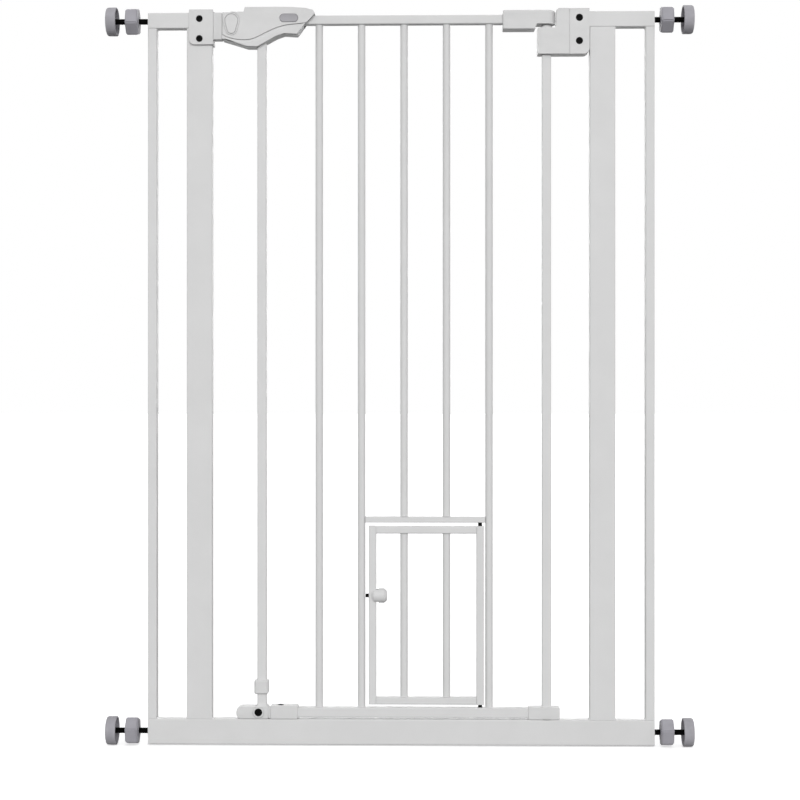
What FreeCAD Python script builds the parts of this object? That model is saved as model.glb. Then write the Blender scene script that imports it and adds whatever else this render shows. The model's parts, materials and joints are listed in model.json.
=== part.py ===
import FreeCAD, Part
import os
import re
import Sketcher

# Pressure-fitted pet gate: a U-shaped tube frame held between two walls by four screw
# spindles, a door with a lift-lever latch, and a small pet door low in the door.
# Millimetres. X runs along the gate, Y through it (the front is at -Y), Z is up.
# The origin is midway between the walls, in the gate's middle plane, level with the
# lowest point of the wall cups.

DRIVING = {
    # frame
    "frame_wide": 674.0, "frame_top": 977.0, "frame_deep": 15.0, "tube_wall": 1.2, "tube_corner": 1.6,
    "rail_low": 2.0, "bottom_rail_tall": 34.0, "top_rail_tall": 21.0,
    "outer_post_wide": 12.0, "wide_post_wide": 34.0, "wide_post_edge": 285.0,
    # spindles that press on the walls
    "spindle_radius": 4.0, "spindle_inside": 45.0, "cup_radius": 19.0, "cup_thick": 13.7,
    "left_cup_face": 379.0, "right_cup_face": 375.0, "nut_radius": 18.2, "nut_long": 15.0,
    "left_nut_gap": 13.8, "right_nut_gap": 9.3,
    # door
    "door_middle": 4.5, "stile_reach": 189.5, "door_tube": 12.0, "door_top": 973.0, "door_low": 38.7,
    "door_rail_tall": 12.8,
    "bar_pitch": 56.6, "bar_radius": 5.0, "bar_wall": 1.0, "header_low": 297.5, "header_tall": 8.0,
    # handle
    "pivot_reach": 229.5, "pivot_tall": 961.0, "handle_half": 12.0, "cheek": 2.5, "play": 0.2,
    "bolt_long": 32.7, "bolt_tall": 8.0, "keeper_low": 933.8, "keeper_high": 980.6,
    # hinges
    "hinge_half": 11.0, "pin_radius": 4.0, "bush_radius": 6.0, "running": 0.05,
    # bottom lock and corner fittings
    "lift_radius": 2.5, "collar_low": 69.0, "collar_high": 88.0, "fitting_half": 8.0,
    # pet door
    "pet_wide": 153.3, "pet_tall": 237.6, "pet_tube": 10.0, "pet_side_gap": 1.9, "pet_low_gap": 3.8,
    "pet_pin_radius": 2.65, "latch_tall": 200.0, "latch_radius": 2.5, "knob_radius": 9.7,
}

doc = FreeCAD.newDocument("PetGate")
dims = doc.addObject("Spreadsheet::Sheet", "Dims")
for row, (alias, size) in enumerate(DRIVING.items(), start=1):
    dims.set(f"A{row}", alias)
    dims.set(f"B{row}", str(size))
    dims.setAlias(f"B{row}", alias)
doc.recompute()

# Places worked out from the driving dimensions, as formulas.
SPINDLE_LOW = "(rail_low + bottom_rail_tall / 2)"
SPINDLE_HIGH = "(frame_top - top_rail_tall / 2)"
RAIL_TOP = "(rail_low + bottom_rail_tall)"
POST_TOP = "(frame_top - top_rail_tall)"
HALF_FRAME = "(frame_wide / 2)"
POST_INNER = "(wide_post_edge - wide_post_wide)"
HINGE_X = "(door_middle + stile_reach)"
LATCH_X = "(door_middle - stile_reach)"
PIVOT_X = "(door_middle - pivot_reach)"
DOOR_HALF = "(door_tube / 2)"
TOP_RAIL_LOW = "(door_top - door_tube)"
DOOR_RAIL_TOP = "(door_low + door_rail_tall)"
HEADER_TOP = "(header_low + header_tall)"
PET_RIGHT = "(door_middle + 2 * bar_pitch - bar_radius - pet_side_gap)"
PET_LEFT = f"({PET_RIGHT} - pet_wide)"
PET_AXIS_X = f"({PET_RIGHT} - pet_tube / 2)"
PET_LOW = f"({DOOR_RAIL_TOP} + pet_low_gap)"
PET_TOP = f"({PET_LOW} + pet_tall)"
CORE_HALF = "(handle_half - cheek - play)"
GAP = "play / 2"
DOOR_ROOM = f"({DOOR_HALF} + {GAP})"

parts = {}


def formula(text):
    """The text with the sheet's name put before each driving dimension."""
    return re.sub(r"[a-z_]+", lambda m: f"Dims.{m[0]}" if m[0] in DRIVING else m[0], str(text))


def number(text):
    """The value that a formula has now."""
    return float(dims.evalExpression(formula(text)))


def bind(thing, place, text):
    thing.setExpression(place, formula(text))


def put(thing, at):
    """Binds where an object stands."""
    for axis, text in zip("xyz", at):
        bind(thing, f"Placement.Base.{axis}", text)
    return thing


def keep(node, thing):
    """Names a finished piece."""
    thing.Label = node
    parts[node] = thing
    return thing


def minus(low, text):
    return f"({low}) - ({text})"


# ---------------------------------------------------------------- shapes

def box(low, high):
    """A block between two corners."""
    block = doc.addObject("Part::Box", "Block")
    for side, a, b in zip(("Length", "Width", "Height"), low, high):
        bind(block, side, minus(b, a))
    return put(block, low)


def new_sketch(body, role):
    plane = next(f for f in body.Origin.OriginFeatures if f.Role == role)
    sketch = body.newObject("Sketcher::SketchObject", "Outline")
    sketch.AttachmentSupport = [(plane, "")]
    sketch.MapMode = "FlatFace"
    return sketch


def add_loop(sketch, points):
    """A closed outline of straight edges, each corner held at its two distances from the origin."""
    first = sketch.GeometryCount
    spots = [FreeCAD.Vector(number(a), number(b), 0) for a, b in points]
    count = len(spots)
    for i, spot in enumerate(spots):
        sketch.addGeometry(Part.LineSegment(spot, spots[(i + 1) % count]), False)
    for i in range(count):
        sketch.addConstraint(Sketcher.Constraint("Coincident", first + i, 2, first + (i + 1) % count, 1))
    for i, (a, b) in enumerate(points):
        for kind, text in (("DistanceX", a), ("DistanceY", b)):
            held = sketch.addConstraint(Sketcher.Constraint(kind, -1, 1, first + i, 1, number(text)))
            bind(sketch, f"Constraints[{held}]", text)


def prism(role, loops, start, length, at=(0, 0, 0)):
    """Closed outlines on a plane, padded along the plane's normal (-Y for the XZ plane)."""
    body = doc.addObject("PartDesign::Body", "Prism")
    sketch = new_sketch(body, role)
    for points in loops:
        add_loop(sketch, points)
    bind(sketch, "AttachmentOffset.Base.z", start)
    pad = body.newObject("PartDesign::Pad", "Pad")
    pad.Profile = sketch
    bind(pad, "Length", length)
    put(body, at)
    doc.recompute()
    return body


def dress(kind, body, size_name, size, pick):
    """Adds a fillet or a chamfer to the straight edges of a body that pick chooses by their middle."""
    tip = body.Tip
    chosen = []
    for i, edge in enumerate(tip.Shape.Edges, start=1):
        way = edge.lastVertex().Point - edge.firstVertex().Point
        if way.Length > 0 and pick(edge.CenterOfMass, way.normalize()):
            chosen.append(f"Edge{i}")
    dressed = body.newObject(kind, "Dressing")
    dressed.Base = (tip, chosen)
    bind(dressed, size_name, size)
    doc.recompute()
    return body


def fillet(body, radius, pick):
    return dress("PartDesign::Fillet", body, "Radius", radius, pick)


def chamfer(body, size, pick):
    return dress("PartDesign::Chamfer", body, "Size", size, pick)


def rectangle(wide, deep, u=0, v=0):
    """Corners of a rectangle about a middle point."""
    left, right = f"({u}) - ({wide}) / 2", f"({u}) + ({wide}) / 2"
    low, high = f"({v}) - ({deep}) / 2", f"({v}) + ({deep}) / 2"
    return [(left, low), (right, low), (right, high), (left, high)]


def tube(role, wide, deep, wall, corner, start, length, at):
    """A straight rectangular tube with rounded outer edges; X tubes stand on the YZ plane."""
    inner = rectangle(f"({wide}) - 2 * ({wall})", f"({deep}) - 2 * ({wall})")
    body = prism(role, [rectangle(wide, deep), inner], start, length, at)
    half_wide, half_deep = number(wide) / 2, number(deep) / 2
    across = {"XY_Plane": ("x", "y", "z"), "YZ_Plane": ("y", "z", "x")}[role]

    def outer(middle, way):
        u, v = (abs(getattr(middle, axis)) for axis in across[:2])
        long = abs(getattr(way, across[2])) > 0.99
        return long and abs(u - half_wide) < 0.01 and abs(v - half_deep) < 0.01

    return fillet(body, corner, outer)


def turned(axis, profile, at=(0, 0, 0)):
    """A turned piece: (distance along the axis, radius) points spun about an X, Y or Z axis."""
    body = doc.addObject("PartDesign::Body", "Turned")
    role, centre_line, swap = {
        "X": ("XZ_Plane", "H_Axis", False),
        "Y": ("XY_Plane", "V_Axis", True),
        "Z": ("XZ_Plane", "V_Axis", True),
    }[axis]
    sketch = new_sketch(body, role)
    add_loop(sketch, [(r, a) if swap else (a, r) for a, r in profile])
    spin = body.newObject("PartDesign::Revolution", "Spin")
    spin.Profile = sketch
    spin.ReferenceAxis = (sketch, [centre_line])
    spin.Angle = 360
    return put(body, at)


def rod(axis, low, high, radius, at=(0, 0, 0)):
    """A round rod from low to high along an axis."""
    return turned(axis, [(low, 0), (high, 0), (high, radius), (low, radius)], at)


def ring(axis, low, high, radius, bore, at=(0, 0, 0)):
    return turned(axis, [(low, bore), (high, bore), (high, radius), (low, radius)], at)


def cut(base, *tools):
    for tool in tools:
        result = doc.addObject("Part::Cut", "Cut")
        result.Base = base
        result.Tool = tool
        base = result
    return base


def fuse(*shapes):
    joined = doc.addObject("Part::MultiFuse", "Joined")
    joined.Shapes = list(shapes)
    joined.Refine = True
    return joined


def common(base, tool):
    both = doc.addObject("Part::Common", "Both")
    both.Base = base
    both.Tool = tool
    return both


def together(*shapes):
    """Separate solids that make one named group."""
    bundle = doc.addObject("Part::Compound", "Bundle")
    bundle.Links = list(shapes)
    return bundle


def upright(wide, deep, low, high, x, wall="tube_wall", corner="tube_corner"):
    return tube("XY_Plane", wide, deep, wall, corner, low, minus(high, low), (x, 0, 0))


def level(tall, deep, left, right, z, wall="tube_wall", corner="tube_corner"):
    return tube("YZ_Plane", deep, tall, wall, corner, left, minus(right, left), (0, 0, z))


# ---------------------------------------------------------------- frame

def make_frame():
    """The welded U of tubes, with plastic plugs in the four ends that the spindles run through."""
    rail = level("bottom_rail_tall", "frame_deep", f"-{HALF_FRAME}", HALF_FRAME, SPINDLE_LOW)
    wall_low = f"{RAIL_TOP} - 2 * tube_wall"
    holes = [rod("Z", wall_low, f"{RAIL_TOP} + 1", "bush_radius", (x, 0, 0)) for x in (HINGE_X, LATCH_X)]
    keep("bottom_rail", cut(rail, *holes))
    for side, sign in (("left", "-"), ("right", "")):
        post = upright("outer_post_wide", "frame_deep", RAIL_TOP, POST_TOP,
                       f"{sign}({HALF_FRAME} - outer_post_wide / 2)")
        keep(f"{side}_outer_post", post)
    wide_x = "(wide_post_edge - wide_post_wide / 2)"
    left = upright("wide_post_wide", "frame_deep", RAIL_TOP, POST_TOP, f"-{wide_x}")
    keep("left_wide_post", cut(left, screw_hole(KEEPER_SCREW_X, KEEPER_SCREW_LOW, "frame_deep / 2")))
    keep("right_wide_post", upright("wide_post_wide", "frame_deep", RAIL_TOP, POST_TOP, wide_x))
    left = level("top_rail_tall", "frame_deep", f"-{HALF_FRAME}", f"-{POST_INNER}", SPINDLE_HIGH)
    keep("left_top_rail", cut(left, screw_hole(KEEPER_SCREW_X, KEEPER_SCREW_HIGH, "frame_deep / 2")))
    right = level("top_rail_tall", "frame_deep", f"{HINGE_X} + 30", HALF_FRAME, SPINDLE_HIGH)
    keep("right_top_rail", cut(right, screw_hole(HINGE_SCREW_X, HINGE_SCREW_HIGH, "frame_deep / 2")))
    keep("rail_end_plugs", together(*[
        end_plug(sign, z, tall)
        for z, tall in ((SPINDLE_LOW, "bottom_rail_tall"), (SPINDLE_HIGH, "top_rail_tall"))
        for sign in (-1, 1)
    ]))
    flange = [(f"{RAIL_TOP} - 10", "pin_radius + running"), (f"{RAIL_TOP} + 1.2", "pin_radius + running"),
              (f"{RAIL_TOP} + 1.2", 9), (RAIL_TOP, 9), (RAIL_TOP, "bush_radius - running"),
              (f"{RAIL_TOP} - 10", "bush_radius - running")]
    keep("bottom_pivot_bush", turned("Z", flange, (HINGE_X, 0, 0)))
    keep("lock_socket", ring("Z", f"{RAIL_TOP} - 10", RAIL_TOP, "bush_radius - running",
                             "pin_radius + 3 * running", (LATCH_X, 0, 0)))


def end_plug(sign, z, tall):
    """A plug flush in the end of a rail, bored for the spindle."""
    end = f"{sign} * {HALF_FRAME}"
    back = f"{sign} * ({HALF_FRAME} - 12)"
    low, high = (end, back) if sign < 0 else (back, end)
    loose = "2 * tube_wall - play"
    block = prism("YZ_Plane", [rectangle(f"frame_deep - {loose}", f"{tall} - {loose}")],
                  low, minus(high, low), (0, 0, z))
    return cut(block, rod("X", f"{low} - 1", f"{high} + 1", "spindle_radius + running", (0, 0, z)))


# ---------------------------------------------------------------- spindles

def make_spindles():
    """Screw spindle, hand nut and wall cup at each of the four corners."""
    for side, sign in (("left", -1), ("right", 1)):
        face = f"{side}_cup_face"
        for level_name, z in (("bottom", SPINDLE_LOW), ("top", SPINDLE_HIGH)):
            name = f"{side}_{level_name}"
            inner, outer = f"({HALF_FRAME} - spindle_inside)", f"({face} + 9)"
            low, high = (minus(0, outer), minus(0, inner)) if sign < 0 else (inner, outer)
            keep(f"{name}_spindle", rod("X", low, high, "spindle_radius", (0, 0, z)))
            keep(f"{name}_nut", hand_nut(sign, f"({HALF_FRAME} + {side}_nut_gap)", z, level_name))
            bowl = [(face, 0, "spindle_radius"), (face, 0, "cup_radius - 1.5"), (face, 1.5, "cup_radius"),
                    (face, "cup_thick - 1.5", "cup_radius"), (face, "cup_thick", "cup_radius - 1.5"),
                    (face, "cup_thick", 0), (face, 9, 0), (face, 9, "spindle_radius")]
            profile = [(f"{sign} * ({at} + {step})", r) for at, step, r in bowl]
            keep(f"{name}_cup", turned("X", profile, (0, 0, z)))


NUT_TURN = 14  # degrees that a flat of the nut leans from the front
NUT_BEVEL = 2


def hand_nut(sign, near, z, level_name):
    """A large six-sided nut with bevelled ends, turned by hand."""
    low = f"-({near} + nut_long)" if sign < 0 else near
    hexagon = doc.addObject("Part::Prism", "Hexagon")
    hexagon.Polygon = 6
    bind(hexagon, "Circumradius", "nut_radius")
    bind(hexagon, "Height", "nut_long")
    turn = -NUT_TURN if level_name == "top" else NUT_TURN
    hexagon.Placement.Rotation = FreeCAD.Rotation(FreeCAD.Vector(0, 1, 0), 90) * FreeCAD.Rotation(
        FreeCAD.Vector(0, 0, 1), turn)
    put(hexagon, (low, 0, z))
    bore, rim = "spindle_radius + running", "nut_radius - 2.6"
    barrel = turned("X", [(0, bore), ("nut_long", bore), ("nut_long", rim),
                          (f"nut_long - {NUT_BEVEL}", "nut_radius"), (NUT_BEVEL, "nut_radius"), (0, rim)],
                    (low, 0, z))
    return common(barrel, hexagon)


# ---------------------------------------------------------------- keeper on the latch side

KEEPER_SCREW_X = f"-({POST_INNER} + 16.8)"
KEEPER_SCREW_LOW = "(keeper_low + 7.9)"
KEEPER_SCREW_HIGH = "(keeper_high - 12.4)"
KEEPER_RIGHT = f"(-{POST_INNER} + 1.5)"
SCREW_CLEAR = 2.2


def screw_hole(x, z, skin):
    """A clearance hole through a front skin at the given distance from the middle plane."""
    return rod("Y", f"-({skin}) - 6", f"-({skin}) + 2", SCREW_CLEAR, (x, 0, z))


def screw(x, z, front, head, grip):
    """A countersunk screw driven in from the front."""
    profile = [(0, 0), (0, head), (1.2, head), (1.8, 2), (grip, 2), (grip, 0)]
    return turned("Y", profile, (x, front, z))


def make_keeper():
    """A plastic saddle screwed over the post, with the catch that the bolt enters."""
    left, right = "(3.2 - wide_post_edge)", KEEPER_RIGHT
    saddle = prism("XZ_Plane", [[(left, "keeper_low"), (right, "keeper_low"), (right, "keeper_high"),
                                 (left, "keeper_high")]], "-hinge_half", "2 * hinge_half")
    left_x = number(left)
    fillet(saddle, 5, lambda m, w: abs(w.y) > 0.99 and abs(m.x - left_x) < 0.1 and m.z < 940)
    fillet(saddle, 1.2, lambda m, w: abs(abs(m.y) - number("hinge_half")) < 0.05 and abs(w.y) < 0.5)
    room = box(("-wide_post_edge - 5", f"-frame_deep / 2 - {GAP}", "keeper_low - 1"),
               (f"-{POST_INNER} + {GAP}", f"frame_deep / 2 + {GAP}", f"frame_top + {GAP}"))
    heads = [rod("Y", "-hinge_half - 1", "-hinge_half + 1.9", 4.35, (KEEPER_SCREW_X, 0, z))
             for z in (KEEPER_SCREW_LOW, KEEPER_SCREW_HIGH)]
    shanks = [screw_hole(KEEPER_SCREW_X, z, "frame_deep / 2")
              for z in (KEEPER_SCREW_LOW, KEEPER_SCREW_HIGH)]
    keep("latch_bracket", cut(saddle, room, *heads, *shanks))
    keep("bracket_screws", together(*[screw(KEEPER_SCREW_X, z, "-hinge_half + 0.1", 4.3, 6)
                                      for z in (KEEPER_SCREW_LOW, KEEPER_SCREW_HIGH)]))
    nose_right = f"({PIVOT_X} - 13)"
    nose = prism("XZ_Plane", [[(right, "keeper_low + 7.2"), (nose_right, "keeper_low + 7.2"),
                               (nose_right, "keeper_high - 3.6"), (right, "keeper_high - 3.6")]],
                 "-frame_deep / 2", "frame_deep")
    pocket = box((f"{nose_right} - 8", "-bolt_tall / 2 - 1", "pivot_tall - 16"),
                 (f"{nose_right} + 1", "bolt_tall / 2 + 1", "pivot_tall - 6"))
    keep("keeper_catch", cut(nose, pocket))


# ---------------------------------------------------------------- top hinge

HINGE_SCREW_X = f"({HINGE_X} + 43.2)"
SCREW_DEPTH = 7
HINGE_SCREW_LOW = 937.2
HINGE_SCREW_HIGH = 968
SEAT_Z = 954.6
HOUSING_LOW = 920
PLATE_X = f"({HINGE_X} + 30)"


def make_hinge():
    """Two half housings clamped on the frame, with bushes and the closing spring inside."""
    outline = [(-13, HOUSING_LOW), (56.6, HOUSING_LOW), (56.6, 980.4), (17, 980.4), (12.4, 976),
               (12.4, SEAT_Z), (-13, SEAT_Z)]
    for name, start, sign in (("hinge_housing_front", 0, -1), ("hinge_housing_back", "-hinge_half", 1)):
        side = sign * number("hinge_half")
        half = prism("XZ_Plane", [outline], start, "hinge_half", (HINGE_X, 0, 0))
        fillet(half, 4, lambda m, w: abs(w.z) > 0.99 and abs(m.x + 13) < 0.1 and abs(m.y - side) < 0.1)
        fillet(half, 7.5, lambda m, w: abs(w.y) > 0.99 and abs(m.x - 56.6) < 0.1 and m.z < 930)
        fillet(half, 1, lambda m, w: abs(m.y - side) < 0.05 and abs(w.y) < 0.5)
        rail_room = box((f"{PLATE_X} - play / 2", "-frame_deep / 2 - play / 2", f"{POST_TOP} - play / 2"),
                        ("wide_post_edge", "frame_deep / 2 + play / 2", "frame_top + play / 2"))
        bore = rod("Z", HOUSING_LOW - 1, SEAT_Z + 1, "bush_radius", (HINGE_X, 0, 0))
        chamber = rod("Z", HOUSING_LOW + 6, SEAT_Z - 6, 8.5, (HINGE_X, 0, 0))
        holes = [rod("Y", -20, SCREW_DEPTH, SCREW_CLEAR, (HINGE_SCREW_X, 0, z))
                 for z in (HINGE_SCREW_LOW, HINGE_SCREW_HIGH)]
        heads = [rod("Y", "-hinge_half - 1", "-hinge_half + 2.3", 4.65, (HINGE_SCREW_X, 0, z))
                 for z in (HINGE_SCREW_LOW, HINGE_SCREW_HIGH)]
        step = box((PLATE_X, "-hinge_half - 1", 900), ("wide_post_edge", "-hinge_half + 0.5", 990))
        keep(name, cut(half, rail_room, bore, chamber, *holes, *heads, step))
    long_grip, short_grip = 16, 6
    keep("hinge_screws", together(
        screw(HINGE_SCREW_X, HINGE_SCREW_LOW, "-hinge_half + 0.5", 4.6, long_grip),
        screw(HINGE_SCREW_X, HINGE_SCREW_HIGH, "-hinge_half + 0.5", 4.6, short_grip)))
    bore, rim = "pin_radius + running", "bush_radius - running"
    domed = [(SEAT_Z - 6, bore), (SEAT_Z + 5, bore), (SEAT_Z + 5, 6), (SEAT_Z + 3, 7.4), (SEAT_Z, 8.2),
             (SEAT_Z, rim), (SEAT_Z - 6, rim)]
    keep("hinge_bushes", together(ring("Z", HOUSING_LOW, HOUSING_LOW + 6, rim, bore, (HINGE_X, 0, 0)),
                                  turned("Z", domed, (HINGE_X, 0, 0))))
    keep("closing_spring", coil())


def coil():
    """The torsion spring that closes the door, wound round the hinge pin."""
    wire, pitch, tall = 0.8, 2.2, 20.0
    path = Part.makeHelix(pitch, tall, 6.4)
    profile = Part.Wire([Part.makeCircle(wire, FreeCAD.Vector(6.4, 0, 0), FreeCAD.Vector(0, 1, 0))])
    spring = doc.addObject("Part::Feature", "Spring")
    spring.Shape = Part.Wire(path.Edges).makePipeShell([profile], True, True)
    spring.Placement.Base = FreeCAD.Vector(number(HINGE_X), 0, HOUSING_LOW + 7.3)
    return spring


def make_hinge_arm():
    """The arm over the door's top rail, its pin, and the pivot pin at the foot of the same stile."""
    outline = [(-57.3, 953), (-16, 953), (-13, 960), (11.5, 960), (11.5, 978.3), (-57.3, 978.3)]
    arm = prism("XZ_Plane", [outline], -11.5, 23, (HINGE_X, 0, 0))
    fillet(arm, 11.4, lambda m, w: abs(w.z) > 0.99 and abs(m.x - 11.5) < 0.1)
    chamfer(arm, 2, lambda m, w: abs(m.x + 57.3) < 0.1)
    rail_room = box((f"{HINGE_X} - 60", f"-{DOOR_HALF} - play / 2", f"{TOP_RAIL_LOW} - play / 2"),
                    (f"{HINGE_X} - 16", f"{DOOR_HALF} + play / 2", "door_top + play / 2"))
    keep("hinge_arm", cut(arm, rail_room, rod("Z", 955, 974, "pin_radius", (HINGE_X, 0, 0))))
    plug = "(door_tube - 2 * tube_wall - play)"
    shank = rod("Z", HOUSING_LOW - 1, 974, "pin_radius", (HINGE_X, 0, 0))
    root = box((f"{HINGE_X} - {plug} / 2", f"-{plug} / 2", HOUSING_LOW - 25),
               (f"{HINGE_X} + {plug} / 2", f"{plug} / 2", HOUSING_LOW - 0.5))
    keep("top_hinge_pin", fuse(root, shank))
    foot = rod("Z", f"{RAIL_TOP} - 9", "door_low + 2", "pin_radius", (HINGE_X, 0, 0))
    socket = box((f"{HINGE_X} - {plug} / 2", f"-{plug} / 2", "door_low + 0.5"),
                 (f"{HINGE_X} + {plug} / 2", f"{plug} / 2", "door_low + 20"))
    keep("bottom_pivot_pin", fuse(socket, foot))


# ---------------------------------------------------------------- door

def bar(x, low, high):
    """A round tube upright."""
    return ring("Z", low, high, "bar_radius", "bar_radius - bar_wall", (x, 0, 0))


def make_door():
    """The door's welded tubes."""
    keep("right_stile", upright("door_tube", "door_tube", "door_low + 0.5", HOUSING_LOW - 0.5, HINGE_X))
    keep("left_stile", upright("door_tube", "door_tube", "collar_low + 9", "door_top", LATCH_X))
    top_z, low_z = f"(door_top - {DOOR_HALF})", "(door_low + door_rail_tall / 2)"
    keep("door_top_rail", level("door_tube", "door_tube", f"{LATCH_X} + {DOOR_HALF}",
                                f"{HINGE_X} - 16.1", top_z))
    low_rail = level("door_rail_tall", "door_tube", f"{LATCH_X} + 13", f"{HINGE_X} - {DOOR_HALF}", low_z)
    pet_hole = rod("Z", f"{DOOR_RAIL_TOP} - 8", f"{DOOR_RAIL_TOP} + 1", "pet_pin_radius",
                   (PET_AXIS_X, 0, 0))
    fixing = rod("Z", f"{DOOR_RAIL_TOP} - 3", f"{DOOR_RAIL_TOP} + 1", 2.2, (SLEEVE_SCREW_X, 0, 0))
    keep("door_bottom_rail", cut(low_rail, pet_hole, fixing))
    header = level("header_tall", "header_tall", "door_middle - bar_pitch + bar_radius",
                   "door_middle + 2 * bar_pitch - bar_radius",
                   "(header_low + header_tall / 2)", "bar_wall", 1)
    keep("header_bar", cut(header, rod("Z", "header_low - 1", "header_low + 6", "pet_pin_radius",
                                       (PET_AXIS_X, 0, 0))))
    long_bars = [bar(f"door_middle + {step} * bar_pitch", DOOR_RAIL_TOP, TOP_RAIL_LOW)
                 for step in (-2, -1, 2)]
    long_bars[1] = cut(long_bars[1], rod("X", 0, 12, "latch_radius + 0.2",
                                         ("door_middle - bar_pitch", 0, "latch_tall")))
    keep("long_bars", together(*long_bars))
    keep("short_bars", together(*[bar(f"door_middle + {step} * bar_pitch", HEADER_TOP, TOP_RAIL_LOW)
                                  for step in (0, 1)]))


SLEEVE_SCREW_X = f"({LATCH_X} + 25)"


def make_corner_fittings():
    """The sleeve and lock foot at the latch-side corner, and the pivot fitting at the hinge side."""
    sleeve = prism("YZ_Plane", [rectangle("2 * fitting_half + 1", 17, 0, 45.5)], f"{LATCH_X} + 11.5", 34.9)
    low, high = number(f"{LATCH_X} + 11.5"), number(f"{LATCH_X} + 46.4")
    chamfer(sleeve, 1.5, lambda m, w: abs(w.x) < 0.5 and (abs(m.x - low) < 0.1 or abs(m.x - high) < 0.1))
    room = box((f"{LATCH_X} + 11", f"-{DOOR_HALF} - play / 2", "door_low - play / 2"),
               (f"{LATCH_X} + 50", f"{DOOR_HALF} + play / 2", f"{DOOR_RAIL_TOP} + play / 2"))
    keep("corner_sleeve", cut(sleeve, room, rod("Z", 50, 55, 4, (SLEEVE_SCREW_X, 0, 0))))
    keep("sleeve_screw", turned("Z", [(47, 0), (53.8, 0), (53.8, 3.9), (51.7, 3.9), (51.7, 2.1), (47, 2.1)],
                                (SLEEVE_SCREW_X, 0, 0)))

    fitting = prism("YZ_Plane", [rectangle("2 * fitting_half", 15.4, 0, 45.1)], f"{HINGE_X} - 24.6", 41.9)
    low, high = number(f"{HINGE_X} - 24.6"), number(f"{HINGE_X} + 17.3")
    chamfer(fitting, 1.2, lambda m, w: abs(w.x) < 0.5 and (abs(m.x - low) < 0.1 or abs(m.x - high) < 0.1))
    rail_room = box((f"{HINGE_X} - 30", f"-{DOOR_HALF} - play / 2", "door_low - play / 2"),
                    (HINGE_X, f"{DOOR_HALF} + play / 2", f"{DOOR_RAIL_TOP} + play / 2"))
    stile_room = box((f"{HINGE_X} - {DOOR_ROOM}", f"-{DOOR_ROOM}", f"door_low - {GAP}"),
                     (f"{HINGE_X} + {DOOR_ROOM}", DOOR_ROOM, 60))
    pin_room = rod("Z", 30, 45, "pin_radius", (HINGE_X, 0, 0))
    keep("corner_fitting", cut(fitting, rail_room, stile_room, pin_room))


def make_lock_foot():
    """The foot under the latch-side stile, with the lift rod's peg inside it."""
    half = "fitting_half"
    tongue = prism("XZ_Plane", [[(-34, 37.5), (11.4, 37.5), (11.4, 53), (-34, 53)]],
                   f"-{half}", f"2 * {half}", (LATCH_X, 0, 0))
    fillet(tongue, 7.4, lambda m, w: abs(w.y) > 0.99 and abs(m.x + 34) < 0.1)
    fillet(tongue, 1.5, lambda m, w: abs(abs(m.y) - number(half)) < 0.05)
    stub = box((f"{LATCH_X} - {DOOR_HALF}", f"-{DOOR_HALF}", 50),
               (f"{LATCH_X} + {DOOR_HALF}", DOOR_HALF, "collar_low + 9"))
    boss = rod("Y", -9.6, 0, 7.4, (f"{LATCH_X} - 4.3", 0, 45))
    spigot = box((f"{LATCH_X} + 11", -4.7, "door_low + 1.3"),
                 (f"{LATCH_X} + 34", 4.7, f"{DOOR_RAIL_TOP} - 5"))
    bore = rod("Z", 30, 61, "pin_radius + 2 * running", (LATCH_X, 0, 0))
    shaft = rod("Z", 60, "collar_high", "lift_radius + 2 * running", (LATCH_X, 0, 0))
    recess = rod("Y", -10, -7.6, 5.05, (f"{LATCH_X} - 4.3", 0, 45))
    thread = rod("Y", -10, -4.6, 2, (f"{LATCH_X} - 4.3", 0, 45))
    keep("lock_foot", cut(fuse(tongue, stub, boss, spigot), bore, shaft, recess, thread))
    keep("foot_screw", turned("Y", [(-9.2, 0), (-9.2, 5), (-7.7, 5), (-7.7, 2), (-4.7, 2), (-4.7, 0)],
                              (f"{LATCH_X} - 4.3", 0, 45)))
    collar = prism("XY_Plane", [rectangle(18.7, 18, -0.5)], "collar_low", minus("collar_high", "collar_low"),
                   (LATCH_X, 0, 0))
    chamfer(collar, 2, lambda m, w: abs(w.z) < 0.5)
    chamfer(collar, 2, lambda m, w: abs(w.z) > 0.99)
    keep("stile_collar", cut(collar, box((f"{LATCH_X} - {DOOR_HALF}", f"-{DOOR_HALF}", 60),
                                         (f"{LATCH_X} + {DOOR_HALF}", DOOR_HALF, 90))))
    peg, thin = "pin_radius", "lift_radius"
    profile = [(f"{RAIL_TOP} + 0.3", 0), (f"{RAIL_TOP} + 0.3", f"{peg} - 0.8"), (f"{RAIL_TOP} + 1.1", peg),
               (50, peg), (50, thin), ("pivot_tall - 6", thin), ("pivot_tall - 6", 0)]
    keep("lift_rod", turned("Z", profile, (LATCH_X, 0, 0)))


# ---------------------------------------------------------------- handle

HANDLE = (PIVOT_X, 0, "pivot_tall")
BOLT_TIP = f"({PIVOT_X} - 12.7)"
BOLT_LOW = "(pivot_tall - 15)"
# the parting line between lever and shell, from the keeper end to the tip, about the lever's pivot
PARTING = [(-11.6, -16.2), (19.4, -21.7), (48.7, -10.7), (75.3, -1.8), (99.2, 0.6)]


def make_handle():
    """Two shells over the stile's head and the rail's end, and the lever that rides on them."""
    underside = [(-11.6, -20), (20.7, -30.2), (34.7, -30.4), (59.3, -16.8), (70, -13), (87.3, -14.2)]
    top = [(50, -1), (50, 16), (-11.6, 16)]
    core = underside + [(97, -1.5)] + top
    skin = underside + PARTING[::-1]
    for name, start, skin_start in (("handle_front_shell", 0, CORE_HALF),
                                    ("handle_back_shell", f"-{CORE_HALF}", "-handle_half")):
        shell = fuse(prism("XZ_Plane", [core], start, CORE_HALF, HANDLE),
                     prism("XZ_Plane", [skin], skin_start, "cheek + play", HANDLE))
        keep(name, cut(shell, *handle_rooms()))
    make_lever()


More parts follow.
